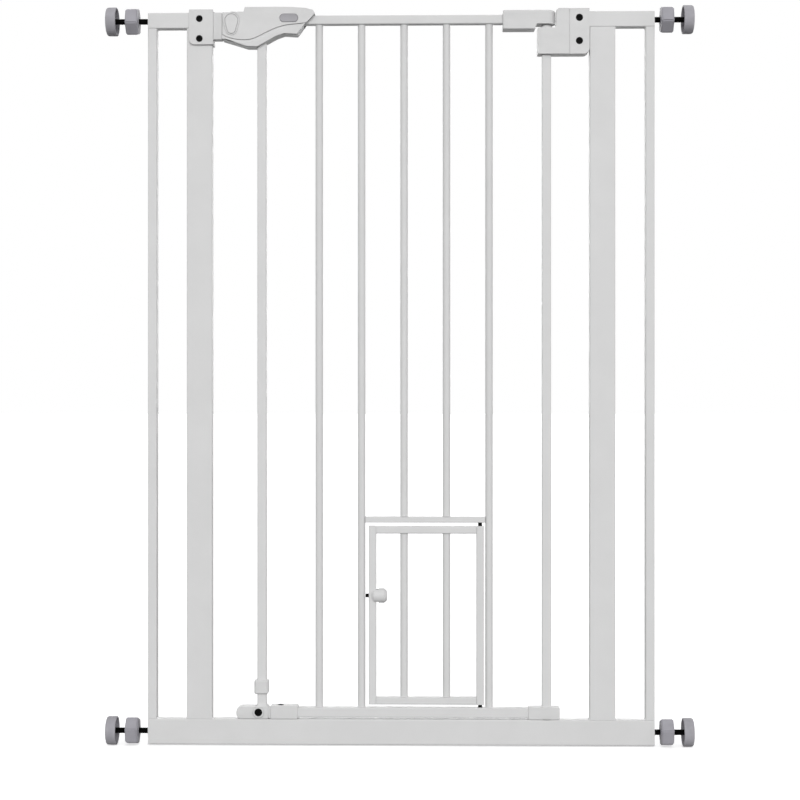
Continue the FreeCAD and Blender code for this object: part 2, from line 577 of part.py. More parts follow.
def handle_rooms():
    """What is hollow inside the two shells: the stile, the rail, the bolt's channel and the pivot."""
    stile = box((f"{LATCH_X} - {DOOR_ROOM}", f"-{DOOR_ROOM}", 920),
                (f"{LATCH_X} + {DOOR_ROOM}", DOOR_ROOM, f"door_top + {GAP}"))
    rail = box((LATCH_X, f"-{DOOR_ROOM}", f"{TOP_RAIL_LOW} - {GAP}"),
               (f"{LATCH_X} + 100", DOOR_ROOM, f"door_top + {GAP}"))
    channel = box((f"{BOLT_TIP} - 7.3", "-bolt_tall / 2 - play", f"{BOLT_LOW} - play"),
                  (f"{BOLT_TIP} + bolt_long + 4.3", "bolt_tall / 2 + play", f"{BOLT_LOW} + bolt_tall + play"))
    pivot = rod("Y", -20, 20, "lift_radius + running", HANDLE)
    return [stile, rail, channel, pivot]


def make_lever():
    """The lever's two cheeks and top, its pivot pin, the thumb button and the bolt."""
    edge = [(-11.6, -13), (-4, -16.6)] + [(x, z + 0.8) for x, z in PARTING[1:]]
    crown = [(111.2, 13.6), (108.5, 18.3), (98, 20.8), (78, 22.2), (60, 22.4), (17.8, 22.2), (17, 16.2),
             (-11.6, 16)]
    lever = prism("XZ_Plane", [edge + crown], "-handle_half", "2 * handle_half", HANDLE)
    hollow = [(-20, -30), (120, -30), (120, 13.8), (104, 16), (78, 19.4), (14, 19.4), (14, 40), (-20, 40)]
    inside = prism("XZ_Plane", [hollow], f"-{CORE_HALF} - play", f"2 * ({CORE_HALF} + play)", HANDLE)
    pin_room = rod("Y", -20, 20, "lift_radius", HANDLE)
    keep("handle_lever", cut(lever, inside, pin_room, button_shape(-20, -8, 0.15)))
    pin = rod("Y", "-handle_half", "handle_half", "lift_radius", HANDLE)
    caps = [egg(y) for y in ("-handle_half - 0.7", "handle_half")]
    keep("lever_pivot", fuse(pin, *caps))
    keep("thumb_button", fuse(button_shape("-handle_half - 0.7", f"-{CORE_HALF} - play", 0),
                              button_shape(f"-{CORE_HALF} - play", f"-{CORE_HALF} + 0.8", 1.2)))
    keep("latch_bolt", box((BOLT_TIP, "-bolt_tall / 2", BOLT_LOW),
                           (f"{BOLT_TIP} + bolt_long", "bolt_tall / 2", f"{BOLT_LOW} + bolt_tall")))


def egg(low):
    """The pivot's cap: two round ends of different size with a straight-sided middle."""
    ends = [rod("Y", low, f"{low} + 0.7", r, (PIVOT_X, 0, f"pivot_tall + {up}"))
            for r, up in ((9.3, 4.2), (6.2, -7.3))]
    waist = [(-9.2, 2.6), (-6.1, -8.2), (6.1, -8.2), (9.2, 2.6)]
    middle = prism("XZ_Plane", [waist], f"-({low}) - 0.7", 0.7, HANDLE)
    return fuse(*ends, middle)


def button_shape(low, high, rim):
    """A slot-shaped slug for the thumb button or its hole."""
    x, z, half, radius = f"({PIVOT_X} + 76.5)", "(pivot_tall + 7.5)", 6.7, 5.3 + rim
    ends = [rod("Y", low, high, radius, (f"{x} + {side}", 0, z)) for side in (-half, half)]
    middle = box((f"{x} - {half}", low, f"{z} - {radius}"), (f"{x} + {half}", high, f"{z} + {radius}"))
    return fuse(*ends, middle)


# ---------------------------------------------------------------- pet door

def make_pet_door():
    """The small door with its pivot pins, bushes and plunger latch."""
    stiles = []
    for x in (f"{PET_LEFT} + pet_tube / 2", PET_AXIS_X):
        stiles.append(upright("pet_tube", "pet_tube", PET_LOW, PET_TOP, x, "bar_wall", 1.5))
    way = rod("X", f"{PET_LEFT} - 5", f"{PET_LEFT} + 15", "latch_radius + running", (0, 0, "latch_tall"))
    stiles[0] = cut(stiles[0], way)
    keep("pet_door_stiles", together(*stiles))
    inner_left, inner_right = f"{PET_LEFT} + pet_tube", f"{PET_RIGHT} - pet_tube"
    keep("pet_door_rails", together(*[
        level("pet_tube", "pet_tube", inner_left, inner_right, z, "bar_wall", 1.5)
        for z in (f"{PET_LOW} + pet_tube / 2", f"{PET_TOP} - pet_tube / 2")]))
    keep("pet_door_bars", together(*[
        bar(f"door_middle + {step} * bar_pitch", f"{PET_LOW} + pet_tube", f"{PET_TOP} - pet_tube")
        for step in (0, 1)]))
    inner = "(pet_tube - 2 * bar_wall - play)"
    bushes = []
    for low in (PET_LOW, f"{PET_TOP} - 12"):
        plug = prism("XY_Plane", [rectangle(inner, inner)], low, 12, (PET_AXIS_X, 0, 0))
        bore = rod("Z", f"{low} - 1", f"{low} + 13", "pet_pin_radius + running", (PET_AXIS_X, 0, 0))
        bushes.append(cut(plug, bore))
    keep("pet_hinge_bushes", together(*bushes))
    keep("pet_hinge_pins", together(
        rod("Z", f"{DOOR_RAIL_TOP} - 6", f"{PET_LOW} + 8", "pet_pin_radius", (PET_AXIS_X, 0, 0)),
        rod("Z", f"{PET_TOP} - 8", "header_low + 5", "pet_pin_radius", (PET_AXIS_X, 0, 0))))
    keep("pet_latch_pin", rod("X", f"{PET_LEFT} - 4.5", f"{PET_LEFT} + 22", "latch_radius",
                              (0, 0, "latch_tall")))
    profile = [(4, "latch_radius"), (22, "latch_radius"), (22, 0), (24.2, 0), (24.2, 7.2),
               (22, "knob_radius"), (13, "knob_radius"), (10.4, 8), (4, 8)]
    knob = turned("X", profile, (PET_LEFT, 0, "latch_tall"))
    slot = box((PET_LEFT, "-pet_tube / 2 - 0.4", "latch_tall - 12"),
               (f"{PET_LEFT} + pet_tube + 3.3", "pet_tube / 2 + 0.4", "latch_tall + 12"))
    keep("pet_latch_knob", cut(knob, slot))


def write_parts():
    """Checks every object, then writes one STEP file for each piece."""
    doc.recompute()
    for thing in doc.Objects:
        if {"Invalid", "Error"} & set(thing.State):
            raise RuntimeError(f"{thing.Name} ({thing.Label}) failed: {thing.State}")
    for node, thing in parts.items():
        if thing.Shape.isNull() or not thing.Shape.isValid() or not thing.Shape.Solids:
            raise RuntimeError(f"{node} has no valid solid")
    os.makedirs("parts", exist_ok=True)
    for node, thing in parts.items():
        thing.Shape.exportStep(f"parts/{node}.step")
    print(len(parts), "pieces")


make_frame()
make_spindles()
make_keeper()
make_hinge()
make_hinge_arm()
make_door()
make_corner_fittings()
make_lock_foot()
make_handle()
make_pet_door()
write_parts()
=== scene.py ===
import json
import math

import bmesh
import bpy
from mathutils import Matrix, Vector


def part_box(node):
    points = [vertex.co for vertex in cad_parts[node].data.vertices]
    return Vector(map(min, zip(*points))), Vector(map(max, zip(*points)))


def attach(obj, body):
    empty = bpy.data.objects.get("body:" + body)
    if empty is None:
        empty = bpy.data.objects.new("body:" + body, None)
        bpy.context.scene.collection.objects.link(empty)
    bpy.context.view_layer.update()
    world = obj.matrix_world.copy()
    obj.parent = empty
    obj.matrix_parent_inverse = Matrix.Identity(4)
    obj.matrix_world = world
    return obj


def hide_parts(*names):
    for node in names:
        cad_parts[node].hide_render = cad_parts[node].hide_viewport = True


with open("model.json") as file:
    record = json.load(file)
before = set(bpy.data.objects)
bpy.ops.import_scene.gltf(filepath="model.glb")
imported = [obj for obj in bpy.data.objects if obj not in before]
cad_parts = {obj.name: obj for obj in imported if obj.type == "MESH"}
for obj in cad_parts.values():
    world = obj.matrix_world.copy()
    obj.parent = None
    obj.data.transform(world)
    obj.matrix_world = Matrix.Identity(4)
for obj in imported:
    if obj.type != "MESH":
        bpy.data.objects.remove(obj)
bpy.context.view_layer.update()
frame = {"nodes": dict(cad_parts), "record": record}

# A pressure-fitted pet gate: painted steel tubes, moulded plastic fittings, rubber wall cups.
# Shapes are worked out in millimetres in the CAD model's frame and scaled to metres as they
# become pieces. X runs along the gate, the front is at -Y, Z is up.

MM = 0.001
SHARP = math.radians(30)
ROUND_STEPS = 48
ARC_STEPS = 8
ALL_ROUND = 2 * math.pi
CORNER_NAMES = [f"{side}_{level}" for side in ("left", "right") for level in ("bottom", "top")]


def span(node):
    """A CAD node's lowest and highest corners, in millimetres."""
    low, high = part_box(node)
    return low / MM, high / MM


def middle(node):
    low, high = span(node)
    return (low + high) / 2


# ---------------------------------------------------------------- outlines

def corners(points):
    """An outline from (u, v, radius) corners, each rounded to its radius."""
    outline = []
    for i, (u, v, radius) in enumerate(points):
        here = Vector((u, v))
        if not radius:
            outline.append(here)
            continue
        back = Vector(points[i - 1][:2]) - here
        ahead = Vector(points[(i + 1) % len(points)][:2]) - here
        half = back.angle(ahead) / 2
        reach = min(radius / math.tan(half), 0.48 * back.length, 0.48 * ahead.length)
        radius = reach * math.tan(half)
        centre = here + (back.normalized() + ahead.normalized()).normalized() * radius / math.sin(half)
        start = here + back.normalized() * reach - centre
        end = here + ahead.normalized() * reach - centre
        outline += [centre + radius * start.slerp(end, step / ARC_STEPS) for step in range(ARC_STEPS + 1)]
    return outline


def slab(left, right, low, high, radius=0.0):
    """A rectangle with every corner rounded alike."""
    return corners([(left, low, radius), (right, low, radius), (right, high, radius), (left, high, radius)])


def flowing(points, steps=6):
    """A smooth line through points (Catmull-Rom)."""
    knots = [Vector(p) for p in points]
    knots = [2 * knots[0] - knots[1]] + knots + [2 * knots[-1] - knots[-2]]
    line = []
    for a, b, c, d in zip(knots, knots[1:], knots[2:], knots[3:]):
        for step in range(steps):
            t = step / steps
            line.append(0.5 * (2 * b + (c - a) * t + (2 * a - 5 * b + 4 * c - d) * t ** 2
                               + (3 * b - a - 3 * c + d) * t ** 3))
    return line + [knots[-2]]


def moved(outline, u, v):
    return [Vector((p[0] + u, p[1] + v)) for p in outline]


def set_along(axis, a, u, v):
    """The point at distance a along an axis, with u and v along the other two."""
    return {"X": (a, u, v), "Y": (u, a, v), "Z": (u, v, a)}[axis]


# ---------------------------------------------------------------- meshes

def loft(rings, looped=False):
    """A skin over rings of points; its ends are capped, or joined if it is looped."""
    bm = bmesh.new()
    rows = [[bm.verts.new(p) for p in ring] for ring in rings]
    for row, following in zip(rows, rows[1:] + ([rows[0]] if looped else [])):
        for i in range(len(row)):
            k = (i + 1) % len(row)
            bm.faces.new((row[i], row[k], following[k], following[i]))
    if not looped:
        bm.faces.new(rows[0])
        bm.faces.new(rows[-1])
    bmesh.ops.recalc_face_normals(bm, faces=bm.faces)
    return bm


def drawn(axis, *sections):
    """A skin over (distance, outline) sections along an axis."""
    return loft([[set_along(axis, a, p[0], p[1]) for p in outline] for a, outline in sections])


def prism(axis, outline, low, high, edge=0.0, segments=3):
    """An outline drawn out along an axis, with every sharp edge rounded."""
    bm = drawn(axis, (low, outline), (high, outline))
    return softened(bm, edge, segments) if edge else bm


def softened(bm, size, segments=3, pick=None):
    """Rounds the sharp edges that pick chooses by their middle and direction, or all of them."""
    chosen = []
    for edge in bm.edges:
        a, b = (v.co for v in edge.verts)
        if edge.is_manifold and edge.calc_face_angle(0) > SHARP:
            if pick is None or pick((a + b) / 2, (b - a).normalized()):
                chosen.append(edge)
    bmesh.ops.bevel(bm, geom=chosen, offset=size, segments=segments, profile=0.5, affect="EDGES",
                    clamp_overlap=True)
    return bm


def turned(axis, profile, centre, looped=False, lean=0.0):
    """Spins (distance, radius) points about an axis; a third value makes that ring a polygon."""
    rings = []
    for a, radius, *sides in profile:
        ring = []
        for step in range(ROUND_STEPS):
            angle = ALL_ROUND * step / ROUND_STEPS
            reach = radius
            if sides:
                wedge = ALL_ROUND / sides[0]
                reach *= math.cos(wedge / 2) / math.cos(angle % wedge - wedge / 2)
            angle += lean
            ring.append(set_along(axis, a, centre[0] + reach * math.cos(angle),
                                  centre[1] + reach * math.sin(angle)))
        rings.append(ring)
    return loft(rings, looped)


def merged(*meshes):
    """Several closed skins as one mesh."""
    whole = bmesh.new()
    for bm in meshes:
        held = bpy.data.meshes.new("Held")
        bm.to_mesh(held)
        bm.free()
        whole.from_mesh(held)
        bpy.data.meshes.remove(held)
    return whole


def in_scene(bm, name="Held"):
    mesh = bpy.data.meshes.new(name)
    bm.to_mesh(mesh)
    bm.free()
    thing = bpy.data.objects.new(name, mesh)
    bpy.context.scene.collection.objects.link(thing)
    return thing


def carved(bm, *tools):
    """A closed skin with other closed skins cut out of it."""
    body = in_scene(bm)
    cutters = [in_scene(tool) for tool in tools]
    for cutter in cutters:
        cut = body.modifiers.new("Cut", "BOOLEAN")
        cut.object = cutter
        cut.solver = "EXACT"
    result = bmesh.new()
    result.from_object(body, bpy.context.evaluated_depsgraph_get())
    for thing in (body, *cutters):
        mesh = thing.data
        bpy.data.objects.remove(thing)
        bpy.data.meshes.remove(mesh)
    return result


def piece(name, bm, finish, body, *nodes):
    """Makes a mesh a finished piece that rides on a body and stands for CAD nodes."""
    bm.transform(Matrix.Scale(MM, 4))
    thing = in_scene(bm, name)
    thing.data.polygons.foreach_set("use_smooth", [True] * len(thing.data.polygons))
    thing.data.set_sharp_from_angle(angle=SHARP)
    thing.data.materials.append(finishes[finish])
    thing.modifiers.new("Even normals", "WEIGHTED_NORMAL").keep_sharp = True
    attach(thing, body)
    if nodes:
        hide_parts(*nodes)
    return thing


# ---------------------------------------------------------------- finishes

def tone(level, tint=(1.0, 1.0, 1.0)):
    """A linear colour from a display grey of 0 to 255 and a tint."""
    display = level / 255
    linear = display / 12.92 if display <= 0.04045 else ((display + 0.055) / 1.055) ** 2.4
    return (*(linear * t for t in tint), 1.0)


class Finish:
    """A material whose colour, roughness and relief come from textures in real millimetres."""

    def __init__(self, name, **sockets):
        self.material = bpy.data.materials.new(name)
        self.material.use_nodes = True
        tree = self.material.node_tree
        self.nodes, self.links = tree.nodes, tree.links
        self.shader = self.nodes["Principled BSDF"]
        self.place = self.nodes.new("ShaderNodeTexCoord").outputs["Object"]
        self.relief = None
        for socket, value in sockets.items():
            self.shader.inputs[socket.replace("_", " ")].default_value = value

    def noise(self, grain, detail=3.0, stretch=(1, 1, 1)):
        """Noise whose blotches are about grain millimetres across, longer where stretch is below 1."""
        mapping = self.nodes.new("ShaderNodeMapping")
        mapping.inputs["Scale"].default_value = stretch
        self.links.new(self.place, mapping.inputs["Vector"])
        node = self.nodes.new("ShaderNodeTexNoise")
        node.inputs["Scale"].default_value = 1 / (grain * MM)
        node.inputs["Detail"].default_value = detail
        self.links.new(mapping.outputs["Vector"], node.inputs["Vector"])
        return node.outputs["Fac"]

    def cells(self, grain):
        """Rounded cells, as powder coat flows into."""
        node = self.nodes.new("ShaderNodeTexVoronoi")
        node.feature = "SMOOTH_F1"
        node.inputs["Scale"].default_value = 1 / (grain * MM)
        self.links.new(self.place, node.inputs["Vector"])
        return node.outputs["Distance"]

    def colour(self, fac, dark, light, tint=(1.0, 1.0, 1.0), low=0.35, high=0.65):
        ramp = self.nodes.new("ShaderNodeValToRGB")
        for stop, place, level in zip(ramp.color_ramp.elements, (low, high), (dark, light)):
            stop.position = place
            stop.color = tone(level, tint)
        self.links.new(fac, ramp.inputs["Fac"])
        self.links.new(ramp.outputs["Color"], self.shader.inputs["Base Color"])

    def roughness(self, fac, low, high):
        spread = self.nodes.new("ShaderNodeMapRange")
        for socket, value in (("From Min", 0.3), ("From Max", 0.7), ("To Min", low), ("To Max", high)):
            spread.inputs[socket].default_value = value
        self.links.new(fac, spread.inputs["Value"])
        self.links.new(spread.outputs["Result"], self.shader.inputs["Roughness"])

    def raised(self, height, depth, strength=1.0):
        """Adds relief of a depth in millimetres."""
        bump = self.nodes.new("ShaderNodeBump")
        bump.inputs["Distance"].default_value = depth * MM
        bump.inputs["Strength"].default_value = strength
        self.links.new(height, bump.inputs["Height"])
        if self.relief:
            self.links.new(self.relief, bump.inputs["Normal"])
        self.relief = bump.outputs["Normal"]
        self.links.new(self.relief, self.shader.inputs["Normal"])


def painted_steel():
    """Satin powder coat: orange peel about a millimetre across over a slightly wavy tube."""
    coat = Finish("Painted_steel", Specular_IOR_Level=0.12)
    coat.colour(coat.noise(55, 4), 204.5, 207.5)
    coat.roughness(coat.noise(9, 4), 0.38, 0.55)
    coat.raised(coat.noise(30, 2), 0.05, 0.4)
    coat.raised(coat.cells(1.6), 0.035, 0.6)
    coat.raised(coat.noise(0.5, 2), 0.008, 0.5)
    return coat.material


def moulded(name, dark, light, tint=(1.0, 1.0, 1.0), rough=(0.42, 0.58)):
    """Moulded plastic with a spark-eroded grain and faint flow marks."""
    plastic = Finish(name, Specular_IOR_Level=0.16)
    plastic.colour(plastic.noise(26, 5, (0.5, 1, 1)), dark, light, tint)
    plastic.roughness(plastic.noise(4, 3), *rough)
    plastic.raised(plastic.noise(20, 2), 0.08, 0.4)
    plastic.raised(plastic.noise(0.35, 3), 0.02, 0.7)
    return plastic.material


def white_plastic():
    return moulded("White_plastic", 199, 206)


def inner_plastic():
    return moulded("Inner_plastic", 176, 188, rough=(0.3, 0.42))


def button_plastic():
    return moulded("Button_plastic", 152, 160, (1.0, 0.985, 1.04))


def grey_plastic():
    return moulded("Grey_plastic", 150, 159, (1.0, 0.98, 1.07), rough=(0.5, 0.65))


def grey_rubber():
    """Matt rubber with a fine pebbled skin and a pale bloom."""
    rubber = Finish("Grey_rubber", Specular_IOR_Level=0.3, Sheen_Weight=0.12, Sheen_Roughness=0.6)
    rubber.colour(rubber.noise(14, 5), 149, 159, (1.0, 0.98, 1.06))
    rubber.roughness(rubber.noise(3, 3), 0.68, 0.82)
    rubber.raised(rubber.cells(0.7), 0.03, 0.7)
    rubber.raised(rubber.noise(0.3, 2), 0.015, 0.6)
    return rubber.material


def black_steel():
    """Blackened screws and spindles with a trace of oil and fine machining marks."""
    steel = Finish("Black_steel", Specular_IOR_Level=0.04)
    steel.colour(steel.noise(5, 4), 3, 9)
    steel.roughness(steel.noise(1.5, 3), 0.42, 0.6)
    steel.raised(steel.noise(0.4, 3, (6, 1, 1)), 0.01, 0.6)
    return steel.material


def zinc_steel():
    """Bright zinc plate, brushed along its length."""
    zinc = Finish("Zinc_steel", Metallic=1.0)
    zinc.colour(zinc.noise(6, 4), 150, 178, (1.0, 1.0, 1.01))
    zinc.roughness(zinc.noise(2.5, 4), 0.24, 0.42)
    zinc.raised(zinc.noise(0.25, 2, (0.05, 1, 1)), 0.012, 0.6)
    return zinc.material


finishes = {make.__name__: make() for make in (
    painted_steel, white_plastic, inner_plastic, button_plastic,
    grey_plastic, grey_rubber, black_steel, zinc_steel)}


def finish_cad_nodes():
    """Gives every CAD node the finish of its slot in the record."""
    for entry in frame["record"]["subparts"]:
        thing = frame["nodes"][entry["node"]]
        thing.data.materials.clear()
        thing.data.materials.append(finishes[entry["material_slot"]])


# ---------------------------------------------------------------- welds

def bead_outline(u, v, size, way_u, way_v):
    """The hollow-faced triangle of a weld in the corner at (u, v)."""
    steps = [(0, 0), (1, 0), (0.55, 0.12), (0.28, 0.28), (0.12, 0.55), (0, 1)]
    return [Vector((u + way_u * size * a, v + way_v * size * b)) for a, b in steps]


def straight_bead(x, z, way_x, way_z, half, size=1.6):
    return prism("Y", bead_outline(x, z, size, way_x, way_z), -half, half)


def round_bead(x, z, radius, way_z, size=1.1):
    """A weld round the foot of a round bar."""
    loop = bead_outline(radius - 0.05, z, size, 1, way_z)
    return turned("Z", [(v, u) for u, v in loop], (x, 0), looped=True)


def bar_centres(node):
    """The X of each round bar in a node, from the gaps between their vertices."""
    spots = sorted(v.co.x / MM for v in frame["nodes"][node].data.vertices)
    groups = [[spots[0]]]
    for spot in spots[1:]:
        if spot - groups[-1][-1] > 20:
            groups.append([])
        groups[-1].append(spot)
    return [(group[0] + group[-1]) / 2 for group in groups]


def make_bar_beads(name, body, *nodes):
    beads = []
    for node in nodes:
        low, high = span(node)
        radius = (high.y - low.y) / 2
        for x in bar_centres(node):
            beads += [round_bead(x, low.z, radius, 1), round_bead(x, high.z, radius, -1)]
    piece(name, merged(*beads), "painted_steel", body)


def make_frame_beads():
    beads = []
    for node in ("left_outer_post", "right_outer_post", "left_wide_post", "right_wide_post"):
        low, high = span(node)
        half = high.y - 1.6
        for x, way in ((low.x, -1), (high.x, 1)):
            if abs(x) < span("bottom_rail")[1].x - 1:
                beads.append(straight_bead(x, low.z, way, 1, half))
                if abs(x) > abs(middle("left_wide_post").x):
                    beads.append(straight_bead(x, high.z, way, -1, half))
    piece("frame_welds", merged(*beads), "painted_steel", "frame")


# ---------------------------------------------------------------- spindles, nuts and cups

PITCH = 1.25
THREAD_DEPTH = 0.55


def threaded_rod(low, high, radius, centre):
    """A rod with a helical ridge along its whole length."""
    rings = []
    rounds = 24
    for i in range(int((high - low) / PITCH * 4) + 1):
        x = low + i * PITCH / 4
        ring = []
        for step in range(rounds):
            turn = step / rounds
            rise = abs(2 * ((x / PITCH + turn) % 1) - 1)
            reach = radius - THREAD_DEPTH * (1 - rise)
            angle = ALL_ROUND * turn
            ring.append((x, centre[0] + reach * math.cos(angle), centre[1] + reach * math.sin(angle)))
        rings.append(ring)
    return loft(rings)


NUT_LEAN = 14  # degrees that the nuts lean, one way at the top and the other at the bottom
NUT_LONGER = 0.7
NUT_EDGE, NUT_RIM, NUT_BEVEL, NUT_BORE = 17.9, 17.0, 0.7, 4.2
FLAT_AREA = 10  # smaller faces of a nut belong to its bevels


def hand_nut(low, high, centre, lean):
    """A six-sided nut with bevelled ends, its flats standing proud with a groove at each corner."""
    radius, rim, bevel, bore = NUT_EDGE, NUT_RIM, NUT_BEVEL, NUT_BORE
    low, high = low - NUT_LONGER, high + NUT_LONGER
    bm = turned("X", [(low, bore), (low, 9), (low, rim, 6), (low + bevel, radius, 6),
                      (high - bevel, radius, 6), (high, rim, 6), (high, 9), (high, bore)],
                centre, looped=True, lean=lean)
    flats = {}
    for face in bm.faces:
        spot = face.calc_center_median()
        level = face.normal.x ** 2 < 0.01
        if level and low + bevel < spot.x < high - bevel and face.calc_area() > FLAT_AREA:
            bearing = math.atan2(spot.z - centre[1], spot.y - centre[0]) - lean
            flats.setdefault(int((bearing % ALL_ROUND) / (ALL_ROUND / 6)), []).append(face)
    for faces in flats.values():
        bmesh.ops.inset_region(bm, faces=faces, thickness=0.45, depth=0.0, use_even_offset=True)
        bmesh.ops.inset_region(bm, faces=faces, thickness=0.3, depth=1.1, use_even_offset=True)
    collar = turned("X", [(low - 0.6, 8.2), (low - 0.6, bore + 0.4), (low + 1, bore), (high - 1, bore),
                          (high + 0.6, bore + 0.4), (high + 0.6, 8.2), (high, 8.6), (low, 8.6)],
                    centre, looped=True)
    return merged(bm, collar)


def wall_cup(inner, outer, centre):
    """A thick rubber disc: hollowed towards the gate, ringed where it grips the wall."""
    way = 1 if outer > inner else -1
    profile = [(5.0, 15.2), (0.4, 16.8), (0, 17.4), (0.3, 18.6), (1.0, 19),
               (10.4, 18.9), (12.2, 18.5), (13.3, 17.6), (13.7, 16.4), (13.7, 14.6), (13.0, 14.2),
               (13.0, 13.2), (13.7, 12.8), (13.7, 10.2), (13.0, 9.8), (13.0, 8.8), (13.7, 8.4),
               (13.7, 0.6)]
    bored = [(8, 0.6), (8, 4.3), (5.3, 4.3), (5.0, 4.7)]
    points = [(inner + way * step, radius) for step, radius in bored + profile]
    return turned("X", points, centre, looped=True)


def make_spindles():
    for name in CORNER_NAMES:
        low, high = span(f"{name}_spindle")
        centre = middle(f"{name}_spindle").yz
        piece(f"{name}_threaded_rod", threaded_rod(low.x, high.x, (high.z - low.z) / 2, centre),
              "black_steel", f"{name}_foot", f"{name}_spindle")
        low, high = span(f"{name}_nut")
        lean = math.radians(NUT_LEAN if name.endswith("top") else -NUT_LEAN)
        piece(f"{name}_hand_nut", hand_nut(low.x, high.x, centre, lean),
              "grey_plastic", f"{name}_wheel", f"{name}_nut")
        low, high = span(f"{name}_cup")
        inner, outer = (high.x, low.x) if low.x < 0 else (low.x, high.x)
        piece(f"{name}_wall_cup", wall_cup(inner, outer, centre),
              "grey_rubber", f"{name}_foot", f"{name}_cup")


# ---------------------------------------------------------------- screws

def socket_screw(axis, front, inward, head, centre, deep=1.6):
    """A screw head flush at front, its rim eased and a six-sided socket in its face."""
    steps = [(deep, head - 0.5), (0.35, head), (0.1, head - 0.1), (0, head - 0.4),
             (0, 2.6, 6), (0.15, 2.4, 6), (deep - 0.2, 2.3, 6)]
    return turned(axis, [(front + inward * a, *rest) for a, *rest in steps], centre)


def screw_spots(node):
    """The X, two heights, head radius and front of the two screws in a node."""
    low, high = span(node)
    radius = (high.x - low.x) / 2
    return (low.x + high.x) / 2, (low.z + radius, high.z - radius), radius, low.y


PLATE_STEP = 0.9  # how far the housing's screw plate is sunk
SLEEVE_SCREW_PROUD = 0.4
FOOT_SCREW_WIDER = 0.2


def make_screws():
    for name, sunk in (("bracket_screws", 0), ("hinge_screws", PLATE_STEP)):
        x, heights, radius, front = screw_spots(name)
        heads = [socket_screw("Y", front + sunk, 1, radius, (x, z)) for z in heights]
        piece(f"{name}_heads", merged(*heads), "black_steel", "frame", name)
    low, high = span("sleeve_screw")
    centre = middle("sleeve_screw")
    sleeve_top = span("corner_sleeve")[1].z
    head = socket_screw("Z", sleeve_top + SLEEVE_SCREW_PROUD, -1, (high.x - low.x) / 2, centre.xy)
    piece("sleeve_screw_head", head, "black_steel", "door", "sleeve_screw")
    low, high = span("foot_screw")
    centre = middle("foot_screw")
    head = socket_screw("Y", low.y, 1, (high.x - low.x) / 2 + FOOT_SCREW_WIDER, centre.xz)
    piece("foot_screw_head", head, "black_steel", "door", "foot_screw")


def round_hole(axis, front, inward, radius, centre, deep):
    """A cutter for a hole with an eased mouth."""
    steps = [(-1, radius + 1.25), (0.25, radius + 0.02), (deep, radius)]
    return turned(axis, [(front + inward * a, r) for a, r in steps], centre)


# ---------------------------------------------------------------- keeper

SKIN = 0.1  # clearance round a tube inside a fitting
SCREW_ROOM = 0.15


def make_keeper():
    """A saddle hollowed to fit over the post, with two screws, and the catch beside it."""
    low, high = span("latch_bracket")
    x, heights, radius, _ = screw_spots("bracket_screws")
    outline = corners([(low.x, low.z, 7.2), (high.x, low.z, 0.6), (high.x, high.z, 0.8),
                       (low.x, high.z, 1.2)])
    saddle = prism("Y", outline, low.y, high.y, 0.9)
    holes = [round_hole("Y", low.y, 1, radius + SCREW_ROOM, (x, z), 2) for z in heights]
    post, rail = span("left_wide_post"), span("left_top_rail")
    room = prism("Y", slab(low.x - 5, post[1].x + SKIN, low.z - 1, rail[1].z + SKIN),
                 post[0].y - SKIN, post[1].y + SKIN)
    piece("latch_saddle", carved(saddle, room, *holes), "white_plastic", "frame", "latch_bracket")
    low, high = span("keeper_catch")
    nose = prism("Y", slab(low.x - 1, high.x, low.z, high.z, 0.8), low.y, high.y, 0.7)
    bolt_low, bolt_high = span("latch_bolt")
    pocket = prism("X", slab(bolt_low.y - 1, bolt_high.y + 1, bolt_low.z - 1, bolt_high.z + 1, 1),
                   high.x - 8, high.x + 1)
    piece("latch_catch", carved(nose, pocket), "white_plastic", "frame", "keeper_catch")


# ---------------------------------------------------------------- top hinge

HOUSING_INSET = 1.1  # how far its left edge stands back from the CAD's
PLATE_GROOVE = 0.35  # half the width of the groove beside the screw plate


def make_housing():
    """Two half housings; the front one has a sunk screw plate beyond a groove."""
    hinge = middle("top_hinge_pin").x
    front_low, front_high = span("hinge_housing_front")
    back_high = span("hinge_housing_back")[1]
    left, right, low, top = front_low.x + HOUSING_INSET, front_high.x, front_low.z, front_high.z
    seat, upper_left, step_x = top - 25.8, hinge + 12.4, hinge + 30
    outline = corners([(left, low, 0.8), (right, low, 7.5), (right, top, 0.8), (hinge + 15.6, top, 1.5),
                       (upper_left, top - 2.8, 1), (upper_left, seat, 0.4), (left, seat, 0.8)])
    x, heights, radius, _ = screw_spots("hinge_screws")
    for name, near in (("front", front_low.y), ("back", back_high.y)):
        half = prism("Y", outline, min(near, 0), max(near, 0))
        softened(half, 3.6, 6, lambda m, w: abs(w.z) > 0.99 and m.x < hinge + 13 and abs(m.y - near) < 0.1)
        softened(half, 0.7)
        if name == "front":
            plate = near + PLATE_STEP
            half = carved(half, prism("Y", slab(step_x, right + 5, low - 5, top + 5), near - 1, plate),
                          prism("Y", slab(step_x - PLATE_GROOVE, step_x + PLATE_GROOVE, low - 5, top + 5),
                                near - 1, plate + PLATE_STEP),
                          *[round_hole("Y", plate, 1, radius + 0.12, (x, z), 2) for z in heights])
        piece(f"hinge_shell_{name}", half, "white_plastic", "frame", f"hinge_housing_{name}")
    low, high = span("hinge_bushes")
    dome = [(seat - 6, 5.9), (seat - 0.1, 5.9), (seat - 0.1, 8.6), (seat + 1.4, 8.35), (seat + 2.8, 7.7),
            (seat + 4.1, 6.6), (high.z, 5.2), (high.z, 4.1), (seat - 6, 4.1)]
    sleeve = [(low.z, 5.9), (low.z, 4.3), (low.z + 6, 4.3), (low.z + 6, 5.9)]
    piece("hinge_seats", merged(turned("Z", dome, (hinge, 0), looped=True),
                                turned("Z", sleeve, (hinge, 0), looped=True)),
          "white_plastic", "frame", "hinge_bushes")


